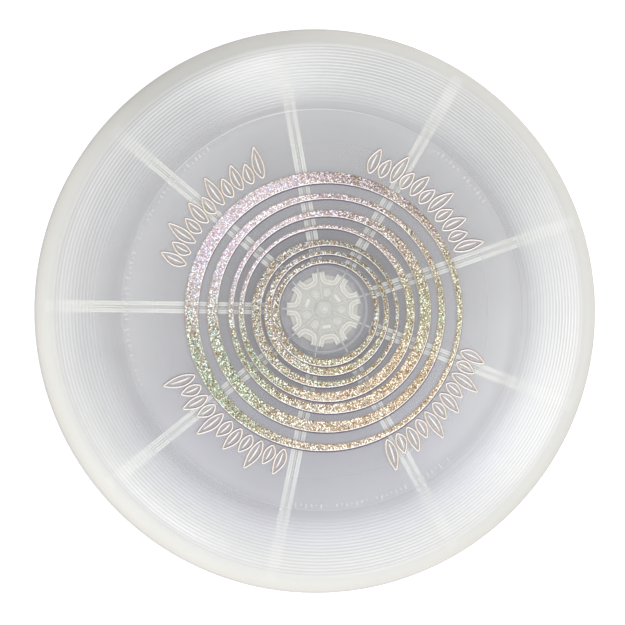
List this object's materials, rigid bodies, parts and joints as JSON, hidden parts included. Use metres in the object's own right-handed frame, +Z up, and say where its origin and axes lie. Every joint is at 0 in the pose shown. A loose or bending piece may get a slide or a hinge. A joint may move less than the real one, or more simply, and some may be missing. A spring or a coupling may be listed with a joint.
{
  "type": "light-up flying disc",
  "caption": "Translucent domed flying disc with radial light fibres under the plate, a central light module, a screwed battery cover and a push button beneath.",
  "frame": {"origin": "centre of the rim's footprint, at the height of the surface the disc rests on", "axes": "+Z up through the disc's axis; the disc rests rim down; +X is the direction the spoke angles are counted from, counter-clockwise seen from above"},
  "size_m": [0.273, 0.273, 0.032],
  "materials": {
    "milky_plastic": "milky translucent moulding, smooth and slightly glossy",
    "clear_plastic": "clear, polished",
    "light_fibre": "clear fibre, polished",
    "cream_plastic": "cream, satin",
    "white_plastic": "white, satin",
    "button_rubber": "soft, matte",
    "board_green": "green circuit board",
    "chip_black": "black moulded package",
    "ceramic_dark": "dark ceramic",
    "steel": "nickel-plated, satin"
  },
  "bodies": {
    "disc": {"disc_body": "milky_plastic", "light_fibre_1": "light_fibre", "light_fibre_2": "light_fibre", "light_fibre_3": "light_fibre", "light_fibre_4": "light_fibre", "light_fibre_5": "light_fibre", "light_fibre_6": "light_fibre", "light_fibre_7": "light_fibre", "light_fibre_8": "light_fibre", "light_fibre_9": "light_fibre", "fibre_hub": "cream_plastic", "light_coupler": "clear_plastic", "led": "clear_plastic", "module_housing": "white_plastic", "circuit_board": "board_green", "controller_chip": "chip_black", "resistor": "ceramic_dark", "snap_dome": "steel", "cell_ring": "white_plastic"},
    "cover": {"battery_cover": "white_plastic", "cover_seal": "button_rubber", "cover_screw_1": "steel", "cover_screw_2": "steel", "cover_screw_3": "steel"},
    "button": {"push_button": "button_rubber"},
    "cells": {"coin_cell_upper": "steel", "coin_cell_lower": "steel", "contact_spring": "steel"}
  },
  "joints": [
    {"name": "cover_lift", "type": "slide", "parent": "disc", "child": "cover", "axis": [0, 0, -1], "range_m": [0, 0.0135]},
    {"name": "button_press", "type": "slide", "parent": "cover", "child": "button", "axis": [0, 0, 1], "range_m": [0, 0.0005], "stiffness_N_per_m": 800, "springref_m": -0.0005, "deforming": ["snap_dome"]},
    {"name": "cells_press", "type": "slide", "parent": "cover", "child": "cells", "axis": [0, 0, 1], "range_m": [0, 0.0005]}
  ],
  "couplings": [
    {"joint": "cells_press", "follows": "button_press", "ratio": 1}
  ]
}
